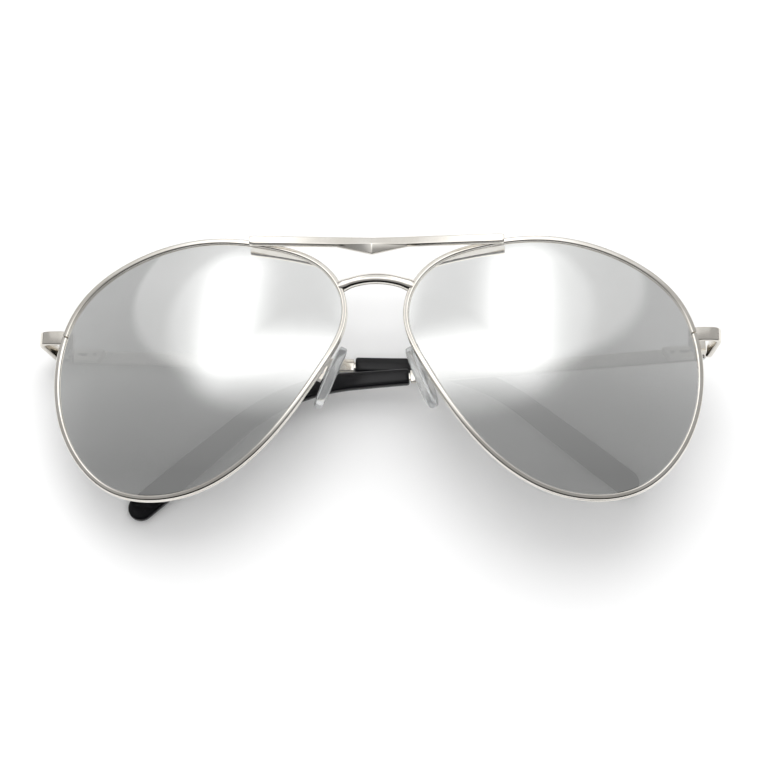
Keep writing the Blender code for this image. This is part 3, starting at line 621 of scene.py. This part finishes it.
def makeEndPieces():
    e = endPiece
    half = e["thickness"] / 2
    hx, hy, hz = lie["hinge"]
    start, corner = Vector((e["inner"], e["front"] + half)), Vector((e["outer"] - half, e["front"] + half))
    stop = Vector((hx + e["stripOffset"], hy - e["buttGap"]))
    away, back = (corner - start).normalized(), (stop - corner).normalized()
    first, last = corner - away * e["bend"], corner + back * e["bend"]
    path = [start + (first - start) * i / 4 for i in range(4)]
    for i in range(17):
        u = i / 16
        path.append((1 - u) ** 2 * first + 2 * u * (1 - u) * corner + u * u * last)
    path += [last + (stop - last) * i / 10 for i in range(1, 11)]
    section = roundedSection(half, e["height"] / 2, e["round"])
    for word, side in sides.items():
        rings = []
        for i, point in enumerate(path):
            before, after = path[max(i - 1, 0)], path[min(i + 1, len(path) - 1)]
            heading = Vector((0, 1)) if i == len(path) - 1 else (after - before).normalized()
            across = Vector((heading.y, -heading.x))
            shrink = 0.94 if i in (0, len(path) - 1) else 1.0
            rings.append([(side * (point.x + across.x * a * shrink), point.y + across.y * a * shrink,
                           hz + up * shrink) for a, up in section])
        mesh = loftMesh("endPieceHook_" + word, rings, wearing)
        addPiece("endPieceHook_" + word, mesh, brushed, "front", "polished_metal", "end_piece_" + word)
    print("end pieces bent")


makeEndPieces()


temple = {
    "bendAt": 90.7,
    "bendAngle": math.radians(37.0),
    "bendRadius": 42.0,
    "length": 134.5,
    "armHeights": (3.4, 2.9),
    "armRound": 0.3,
    "coreHeight": 1.7,
    "coreThickness": 0.8,
    "coreEnd": 122.0,
    "sleeveStart": 64.0,
    "sleeveThickness": (2.4, 2.2),
    "sleeveHeights": (3.6, 4.3, 5.7),   # start, bend, tip
    "clearance": 0.25,
}


def alongTemple(distance):
    t = temple
    begin = t["bendAt"] - t["bendRadius"] * math.tan(t["bendAngle"] / 2)
    angle = min(max((distance - begin) / t["bendRadius"], 0.0), t["bendAngle"])
    y = min(distance, begin) + t["bendRadius"] * math.sin(angle)
    z = -t["bendRadius"] * (1 - math.cos(angle))
    straight = max(distance - begin - t["bendRadius"] * t["bendAngle"], 0.0)
    return y + straight * math.cos(angle), z - straight * math.sin(angle), angle


def templeRing(side, distance, section):
    y, z, angle = alongTemple(distance)
    return [(side * (endPiece["stripOffset"] + across), y + up * math.sin(angle), z + up * math.cos(angle))
            for across, up in section]


def sleeveSection(thickness, height, power=0.55, count=36):
    points = []
    for i in range(count):
        a = 2 * math.pi * (i + 0.5) / count
        c, s = math.cos(a), math.sin(a)
        points.append((math.copysign(abs(c) ** power, c) * thickness / 2,
                       math.copysign(abs(s) ** power, s) * height / 2))
    return points


def makeArm(word, side):
    t = temple
    neck = t["sleeveStart"] - 0.4
    rings = []
    for distance in [endPiece["buttGap"]] + [endPiece["buttGap"] + 0.12] + list(np.linspace(2, neck, 40)):
        tall = t["armHeights"][0] + (t["armHeights"][1] - t["armHeights"][0]) * distance / neck
        shrink = 0.1 if distance == endPiece["buttGap"] else 0.0
        section = roundedSection(endPiece["thickness"] / 2 - shrink, tall / 2 - shrink, t["armRound"] - shrink)
        rings.append(templeRing(side, float(distance), section))
    for distance in [neck + 0.08] + list(np.linspace(neck + 0.4, t["coreEnd"], 30)):
        section = roundedSection(t["coreThickness"] / 2, t["coreHeight"] / 2, 0.25)
        rings.append(templeRing(side, float(distance), section))
    mesh = loftMesh("templeStrip_" + word, rings, templePlace(side))
    addPiece("templeStrip_" + word, mesh, silver, "temple_" + word, "polished_metal", "temple_arm_" + word)


def sleeveTall(distance):
    t = temple
    start, bend, tip = t["sleeveHeights"]
    return (start + ease(distance, t["sleeveStart"], t["bendAt"]) * (bend - start)
            + ease(distance, t["bendAt"], t["length"] - 10) * (tip - bend))


def makeSleeve(word, side):
    t = temple
    wide = 2 * t["clearance"]
    rings = []
    for distance in np.linspace(t["coreEnd"] + t["clearance"], t["sleeveStart"], 24):
        section = sleeveSection(t["coreThickness"] + wide, t["coreHeight"] + wide)
        rings.append(templeRing(side, float(distance), section))
    for lead, share in ((0.0, 0.78), (0.04, 0.86), (0.16, 0.93), (0.35, 0.98)):
        section = sleeveSection(t["sleeveThickness"][0] * share, t["sleeveHeights"][0] * share)
        rings.append(templeRing(side, t["sleeveStart"] + lead, section))
    endRadius = t["sleeveHeights"][2] / 2
    thin = t["sleeveThickness"]
    for distance in np.linspace(t["sleeveStart"] + 0.6, t["length"] - endRadius, 56):
        share = ease(distance, t["bendAt"], t["length"])
        rings.append(templeRing(side, float(distance),
                                sleeveSection(thin[0] + (thin[1] - thin[0]) * share, sleeveTall(distance))))
    for step in range(8, 89, 8):
        a = math.radians(step)
        section = sleeveSection(thin[1] * math.cos(a) ** 0.35, t["sleeveHeights"][2] * math.cos(a))
        rings.append(templeRing(side, t["length"] - endRadius * (1 - math.sin(a)), section))
    mesh = loftMesh("templeSleeve_" + word, rings, templePlace(side))
    addPiece("templeSleeve_" + word, mesh, black, "temple_" + word, "black_sleeve",
             "temple_sleeve_" + word, smooth=50)


for word, side in sides.items():
    makeArm(word, side)
    makeSleeve(word, side)
print("temples made")


spring = {"radius": 0.44, "wire": 0.1, "from": 2.7, "to": 4.8, "turns": 5.0, "pointsPerTurn": 24}
hingeScrew = {"shaft": 0.36, "head": 0.85, "headHeight": 0.3, "top": 1.35, "under": -1.5}
rimScrew = {"shaft": 0.5, "head": 0.85, "headHeight": 0.6, "top": 1.7, "under": -2.1, "at": (68.1, 12.9)}
padScrew = {"shaft": 0.3, "head": 0.6, "headHeight": 0.4, "top": 1.3, "under": -1.45}


def springTree():
    tree, sizes = newTree("hingeCoil", coilRadius=0.44, wire=0.1, turns=5.0, length=2.1, start=2.7, perTurn=24)
    coil = addNode(tree, "GeometryNodeCurveSpiral",
                   {"Resolution": sizes["perTurn"], "Rotations": sizes["turns"],
                    "Start Radius": sizes["coilRadius"], "End Radius": sizes["coilRadius"],
                    "Height": sizes["length"]})
    shift = addNode(tree, "ShaderNodeCombineXYZ", {1: sizes["start"]})
    laid = addNode(tree, "GeometryNodeTransform",
                   {"Geometry": coil.outputs[0], "Translation": shift.outputs[0],
                    "Rotation": (math.radians(-90), 0, 0)})
    ring = addNode(tree, "GeometryNodeCurvePrimitiveCircle", {"Resolution": 10, "Radius": sizes["wire"]})
    swept = addNode(tree, "GeometryNodeCurveToMesh",
                    {"Curve": laid.outputs[0], "Profile Curve": ring.outputs[0], "Fill Caps": True})
    endTree(tree, swept.outputs[0], sizes["finish"])
    return tree


def screwTree():
    tree, sizes = newTree("slottedScrew", shaft=0.4, head=0.8, headHeight=0.4, length=3.0, slotWidth=0.2)

    def lifted(part, height):
        offset = addNode(tree, "ShaderNodeCombineXYZ", {2: height}).outputs[0]
        return addNode(tree, "GeometryNodeTransform", {"Geometry": part.outputs[0], "Translation": offset})

    def heads(share):
        return mathNode(tree, "MULTIPLY", sizes["headHeight"], share)

    halfHead = heads(0.5)
    body = addNode(tree, "GeometryNodeMeshCone",
                   {"Vertices": 40, "Radius Bottom": mathNode(tree, "MULTIPLY", sizes["head"], 0.82),
                    "Radius Top": sizes["head"], "Depth": halfHead})
    rimBand = addNode(tree, "GeometryNodeMeshCylinder",
                      {"Vertices": 40, "Radius": sizes["head"], "Depth": halfHead})
    shaft = addNode(tree, "GeometryNodeMeshCylinder",
                    {"Vertices": 28, "Radius": sizes["shaft"],
                     "Depth": mathNode(tree, "ADD", sizes["length"], 0.04)})
    middle = mathNode(tree, "SUBTRACT", mathNode(tree, "MULTIPLY", sizes["length"], 0.5), 0.02)
    whole = addNode(tree, "GeometryNodeMeshBoolean", operation="UNION", solver="EXACT")
    for part in (lifted(body, heads(-1.0)), lifted(rimBand, heads(-0.25)), lifted(shaft, middle)):
        tree.links.new(part.outputs[0], whole.inputs["Mesh 2"])
    slotSize = addNode(tree, "ShaderNodeCombineXYZ", {0: sizes["slotWidth"], 1: 9.0, 2: sizes["headHeight"]})
    slotBox = addNode(tree, "GeometryNodeMeshCube", {"Size": slotSize.outputs[0]})
    cut = addNode(tree, "GeometryNodeMeshBoolean",
                  {"Mesh 1": whole.outputs[0], "Mesh 2": lifted(slotBox, heads(-1.3)).outputs[0]},
                  operation="DIFFERENCE", solver="EXACT")
    axis = addNode(tree, "GeometryNodeInputNamedAttribute", {"Name": "axis"}, data_type="FLOAT_VECTOR")
    across = addNode(tree, "GeometryNodeInputNamedAttribute", {"Name": "slotAlong"}, data_type="FLOAT_VECTOR")
    turn = addNode(tree, "FunctionNodeAxesToRotation", {"Primary Axis": axis.outputs[0],
                                                        "Secondary Axis": across.outputs[0]},
                   primary_axis="Z", secondary_axis="Y")
    placed = addNode(tree, "GeometryNodeInstanceOnPoints",
                     {"Points": sizes["Geometry"], "Instance": cut.outputs[0], "Rotation": turn.outputs[0]})
    endTree(tree, placed.outputs[0], sizes["finish"])
    return tree


def screwValues(size, slotWidth):
    return {"shaft": size["shaft"], "head": size["head"], "headHeight": size["headHeight"],
            "length": size["top"] - size["under"], "slotWidth": slotWidth, "finish": steel}


def setScrews(name, tree, places, size, slotWidth, body, *nodes):
    points = [m @ Vector((0, 0, size["under"])) for m in places]
    axes = [(m.to_3x3() @ Vector((0, 0, 1))).normalized() for m in places]
    slots = [(m.to_3x3() @ Vector((math.sin(0.7 + k), math.cos(0.7 + k), 0))).normalized()
             for k, m in enumerate(places)]
    mesh = grown(name, tree, points, screwValues(size, slotWidth),
                 {"axis": [tuple(a) for a in axes], "slotAlong": [tuple(s) for s in slots]}, wearing)
    addPiece(name, mesh, None, body, "bright_screw", *nodes)


def makeSprings():
    tree = springTree()
    for word, side in sides.items():
        values = {"coilRadius": spring["radius"], "wire": spring["wire"], "turns": spring["turns"],
                  "length": spring["to"] - spring["from"], "start": spring["from"],
                  "perTurn": spring["pointsPerTurn"], "finish": steel}
        mesh = grown("hingeCoil_" + word, tree, [(0, 0, 0)], values, None, templePlace(side))
        coil = addPiece("hingeCoil_" + word, mesh, None, None, "bright_screw", "hinge_spring_" + word)
        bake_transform(coil)   # fixed where the folded temple puts it, tied to no body


def makeScrews():
    tree = screwTree()
    hx, hy, hz = lie["hinge"]
    hinges = [Matrix.Translation((side * hx, hy, hz))
              @ Matrix.Rotation(-side * math.radians(lie["droop"][side]), 4, "Y") for side in sides.values()]
    setScrews("hingeScrews", tree, hinges, hingeScrew, 0.22, "front", "hinge_screw_left", "hinge_screw_right")
    locks = [Matrix.Translation((side * rimScrew["at"][0], rimScrew["at"][1], hz)) for side in sides.values()]
    setScrews("rimScrews", tree, locks, rimScrew, 0.24, "front", "rim_screw_left", "rim_screw_right")
    pivot = -pad["half"][2] - pad["standoff"] - pad["cupHollow"] / 2
    pads = [padTurn(side) @ Matrix.Translation((0, 0, pivot)) @ Matrix.Rotation(math.radians(-90), 4, "X")
            for side in sides.values()]
    setScrews("padScrews", tree, pads, padScrew, 0.16, "front", "pad_screw_left", "pad_screw_right")


pad = {
    "at": (9.8, 9.1, -1.1),
    "lean": 22.0,               # degrees
    "splay": 14.0,
    "half": (7.25, 3.8, 1.1),   # along, across, through
    "foot": 0.08,
    "dish": 0.15,
    "rings": 24,
    "spokes": 64,
    "tongue": (1.6, 1.0, 1.9),
    "standoff": 0.5,
    "cupHollow": 1.3,
    "cupDepth": 1.6,
    "armRadius": 0.45,
}


def padTurn(side):
    lean, splay = math.radians(pad["lean"]), math.radians(pad["splay"])
    along = Vector((-side * math.sin(lean), 0, math.cos(lean)))
    inwards = Vector((-side * math.cos(lean), 0, -math.sin(lean)))
    normal = inwards * math.cos(splay) + Vector((0, math.sin(splay), 0))
    turn = Matrix((along, normal.cross(along), normal)).transposed().to_4x4()
    return Matrix.Translation((side * pad["at"][0], pad["at"][1], pad["at"][2])) @ turn


def makePads():
    p = pad
    a, b, c = p["half"]
    for word, side in sides.items():
        bm = bmesh.new()
        rings, spokes = p["rings"], p["spokes"]
        rows = []
        for i in range(1, rings):
            polar = math.pi * i / rings
            level, flat = math.cos(polar), math.sin(polar)
            row = []
            for k in range(spokes):
                x, y = math.cos(2 * math.pi * k / spokes), math.sin(2 * math.pi * k / spokes)
                foot = 1 + p["foot"] * x                 # fuller at the lower end
                row.append(bm.verts.new((a * math.copysign(abs(x) ** 0.8, x) * flat ** 0.4,
                                         b * math.copysign(abs(y) ** 0.9, y) * flat ** 0.4 / foot,
                                         c * math.copysign(abs(level) ** 0.35, level) - p["dish"] * y * y)))
            rows.append(row)
        for row, following in zip(rows, rows[1:]):
            for k in range(spokes):
                j = (k + 1) % spokes
                bm.faces.new((row[k], row[j], following[j], following[k]))
        for row, level in ((rows[0][::-1], c), (rows[-1], -c)):
            hub = bm.verts.new((0, 0, level))
            for k in range(spokes):
                bm.faces.new((row[k], row[(k + 1) % spokes], hub))
        mesh = toMesh("padSkin_" + word, bm, wearing @ padTurn(side))
        addPiece("padSkin_" + word, mesh, clear, "pad_" + word, "clear_pad", "nose_pad_" + word, smooth=60)
        tongue = bmesh.new()
        bmesh.ops.create_cube(tongue, size=1.0)
        wide, thick, tall = p["tongue"]
        for v in tongue.verts:
            v.co = (v.co.x * wide, v.co.y * thick, -c * 0.55 - (0.5 - v.co.z) * (tall - c * 0.25))
        bmesh.ops.bevel(tongue, geom=list(tongue.edges), offset=0.14, segments=3, affect="EDGES")
        mesh = toMesh("padTongue_" + word, tongue, wearing @ padTurn(side))
        addPiece("padTongue_" + word, mesh, clear, "pad_" + word, "clear_pad")
    print("nose pads moulded")


def makePadArms():
    for word, side in sides.items():
        bottom = -pad["half"][2] - pad["standoff"] - pad["cupDepth"]
        cupBack = padTurn(side) @ Vector((0, 0, bottom - pad["armRadius"] - 0.25))
        knots = [(side * 9.0, 4.75, 4.4), (side * 10.6, 5.1, 5.2),
                 (side * 13.0, 6.4, 4.4), (side * 14.0, 7.8, 2.2),
                 cupBack + Vector((side * 0.3, 0, 0.5)), cupBack + Vector((0, 0, -0.9))]
        path = smoothPath(knots, 12)
        thick = [1 + 0.35 * (1 - ease(i, 0, 7)) for i in range(len(path))]
        mesh = grown("padWire_" + word, roundWire, path, {"radius": pad["armRadius"], "finish": silver},
                     {"thickness": thick}, wearing)
        addPiece("padWire_" + word, mesh, None, "front", "polished_metal", "pad_arm_" + word)


makePads()
makePadArms()
makeSprings()
makeScrews()
print("springs, screws and pad arms made")


kept = {                        # these keep the CAD's shape and get a finish
    "hinge_front": silver,
    "hinge_eyelet": silver,
    "hinge_housing": nickel,
    "rim_lock_upper": silver,
    "rim_lock_lower": silver,
    "pad_cup": silver,
}
for stem, finish in kept.items():
    for word in sides:
        slots = frame["nodes"][stem + "_" + word].data.materials
        for i in range(len(slots)):
            slots[i] = finish


studio = {
    "floorSize": 6.0,           # metres
    "world": 0.22,
    "lampSize": 1.4,
    "lampAt": (0.0, 0.75, 1.3),
    "lampPower": 15.0,
    "ceilingSize": 6.0,
    "ceilingHeight": 2.6,
    "ceilingPower": 115.0,
    "flagAt": -0.11,            # black card in front, seen only in the metal
    "flagSize": (0.7, 0.075),
}

reflector = {                   # only seen in the mirrors and the metal; sizes in mm
    "height": 80.0,
    "size": (900.0, 700.0),
    "middle": -10.7,            # the two halves mirror each other
    "tube": (38.0, 17.0, 76.0), # upright tube: across, from, to
    "tubeRadius": 4.0,
    "tubeFade": 12.5,
    "tubeGlow": 0.85,
    "bowl": (30.0, 90.0, 80.0), # round edge of the big diffuser: across, back, radius
    "bowlEdge": 5.0,
    "bowlGlow": 0.72,
    "disc": (14.0, 50.0, 60.0, 6.0, 0.16), # brighter round middle: across, back, radius, edge, extra
    "spill": (52.0, 24.0, 0.16),
    "dark": (0.30, 0.50, -38.0, 32.0),
    "black": (-72.0, -50.0),    # nothing lit beyond here, towards the front
}


def stagePlane(name, width, depth, height, down=False):
    bm = bmesh.new()
    bmesh.ops.create_grid(bm, x_segments=1, y_segments=1, size=0.5)
    for v in bm.verts:
        v.co = (v.co.x * width, v.co.y * depth, height)
    if down:
        bmesh.ops.reverse_faces(bm, faces=bm.faces)
    mesh = bpy.data.meshes.new(name)
    bm.to_mesh(mesh)
    bm.free()
    item = bpy.data.objects.new(name, mesh)
    scene.collection.objects.link(item)
    return item


def reflectorGlow():
    r = reflector
    glow = bpy.data.materials.new("reflectorGlow")
    glow.use_nodes = True
    tree = glow.node_tree
    tree.nodes.clear()
    place = addNode(tree, "ShaderNodeTexCoord").outputs["Object"]
    spot = addNode(tree, "ShaderNodeSeparateXYZ", {0: place}).outputs

    def calc(operation, *values):
        return mathNode(tree, operation, *values)

    def length(a, b):
        return calc("SQRT", calc("ADD", calc("MULTIPLY", a, a), calc("MULTIPLY", b, b)))

    def bell(value, middle, width):
        off = calc("DIVIDE", calc("SUBTRACT", value, middle), width)
        return calc("EXPONENT", calc("MULTIPLY", calc("MULTIPLY", off, off), -1.0))

    u = calc("ABSOLUTE", calc("SUBTRACT", calc("MULTIPLY", spot[0], 1000.0), r["middle"]))
    v = calc("MULTIPLY", spot[1], 1000.0)
    across, low, high = r["tube"]
    nearestV = calc("MINIMUM", calc("MAXIMUM", v, low), high)
    upright = length(calc("SUBTRACT", u, across), calc("SUBTRACT", v, nearestV))
    level = length(calc("MAXIMUM", calc("SUBTRACT", u, across), 0.0), calc("SUBTRACT", v, low))
    nearest = calc("SUBTRACT", calc("MINIMUM", upright, level), r["tubeRadius"])
    tube = calc("MULTIPLY", bell(calc("MAXIMUM", nearest, 0.0), 0.0, r["tubeFade"]), r["tubeGlow"])
    bowlU, bowlV, radius = r["bowl"]
    away = length(calc("SUBTRACT", u, bowlU), calc("SUBTRACT", v, bowlV))
    inside = addNode(tree, "ShaderNodeMapRange",
                     {"Value": away, "From Min": radius + r["bowlEdge"], "From Max": radius - r["bowlEdge"],
                      "To Min": 0.0, "To Max": 1.0}, interpolation_type="SMOOTHSTEP").outputs[0]
    spillU, spillWidth, spillGlow = r["spill"]
    upper = calc("ADD", calc("MULTIPLY", bell(u, spillU, spillWidth), spillGlow), r["bowlGlow"])
    darkest, lightest, darkV, lightV = r["dark"]
    lower = addNode(tree, "ShaderNodeMapRange", {"Value": v, "From Min": darkV, "From Max": lightV,
                                                 "To Min": darkest, "To Max": lightest}).outputs[0]
    discU, discV, discRadius, discEdge, discGlow = r["disc"]
    off = length(calc("SUBTRACT", u, discU), calc("SUBTRACT", v, discV))
    disc = addNode(tree, "ShaderNodeMapRange",
                   {"Value": off, "From Min": discRadius + discEdge, "From Max": discRadius - discEdge,
                    "To Min": 0.0, "To Max": discGlow}, interpolation_type="SMOOTHSTEP").outputs[0]
    room = calc("ADD", disc, calc("ADD", calc("MULTIPLY", upper, inside),
                                  calc("MULTIPLY", lower, calc("SUBTRACT", 1.0, inside))))
    lit = addNode(tree, "ShaderNodeMapRange",
                  {"Value": v, "From Min": r["black"][0], "From Max": r["black"][1]},
                  interpolation_type="SMOOTHSTEP").outputs[0]
    light = addNode(tree, "ShaderNodeEmission", {"Strength": calc("MULTIPLY", calc("ADD", room, tube), lit)})
    addNode(tree, "ShaderNodeOutputMaterial", {"Surface": light.outputs[0]})
    return glow


def addLamp(name, size, power, place):
    lamp = bpy.data.lights.new(name, "AREA")
    lamp.size = size
    lamp.energy = power
    holder = bpy.data.objects.new(name, lamp)
    holder.location = place
    holder.rotation_euler = (-Vector(place)).to_track_quat("-Z", "Y").to_euler()
    holder.visible_glossy = False
    scene.collection.objects.link(holder)


def makeStudio():
    floor = stagePlane("paperFloor", studio["floorSize"], studio["floorSize"], -0.00002)
    floor.data.materials.append(startMaterial("whitePaper", (0.9, 0.9, 0.9), 0.0, 0.9)[0])
    cardWidth, cardDepth = reflector["size"]
    card = stagePlane("reflectorCard", cardWidth * mm, cardDepth * mm, reflector["height"] * mm, down=True)
    card.data.materials.append(reflectorGlow())
    flag = stagePlane("blackFlag", *studio["flagSize"], 0.0)
    flag.data.transform(Matrix.Translation((0, studio["flagAt"], studio["flagSize"][1] / 2 + 0.004))
                        @ Matrix.Rotation(math.radians(90), 4, "X"))
    flag.data.materials.append(startMaterial("blackCloth", (0.004, 0.004, 0.004), 0.0, 0.9)[0])
    for item in (card, flag):
        item.visible_camera = False
        item.visible_diffuse = False
        item.visible_shadow = False
        item.visible_transmission = False
    addLamp("backLamp", studio["lampSize"], studio["lampPower"], studio["lampAt"])
    addLamp("ceilingLamp", studio["ceilingSize"], studio["ceilingPower"], (0, 0, studio["ceilingHeight"]))
    world = bpy.data.worlds.new("studio")
    world.use_nodes = True
    world.node_tree.nodes["Background"].inputs[0].default_value = (1, 1, 1, 1)
    world.node_tree.nodes["Background"].inputs[1].default_value = studio["world"]
    scene.world = world
    scene.view_settings.view_transform = "Standard"


view = {
    "azimuth": 0.44,
    "elevation": 70.77,
    "roll": 0.78,
    "distance": 0.602,
    "target": (0.00160, -0.00257, 0.020),
    "lens": 131.5,
}


def makeCamera():
    az, el, roll = [math.radians(view[k]) for k in ("azimuth", "elevation", "roll")]
    away = Vector((math.sin(az) * math.cos(el), -math.cos(az) * math.cos(el), math.sin(el)))
    right = Vector((0, 0, 1)).cross(away).normalized()
    up = away.cross(right)
    turned = right * math.cos(roll) + up * math.sin(roll)
    data = bpy.data.cameras.new("viewCamera")
    data.sensor_width = 36.0
    data.lens = view["lens"]
    data.clip_start = 0.01
    camera = bpy.data.objects.new("viewCamera", data)
    basis = Matrix((turned, away.cross(turned), away)).transposed().to_4x4()
    camera.matrix_world = Matrix.Translation(Vector(view["target"]) + away * view["distance"]) @ basis
    scene.collection.objects.link(camera)
    scene.camera = camera


makeStudio()
makeCamera()
print("studio ready")
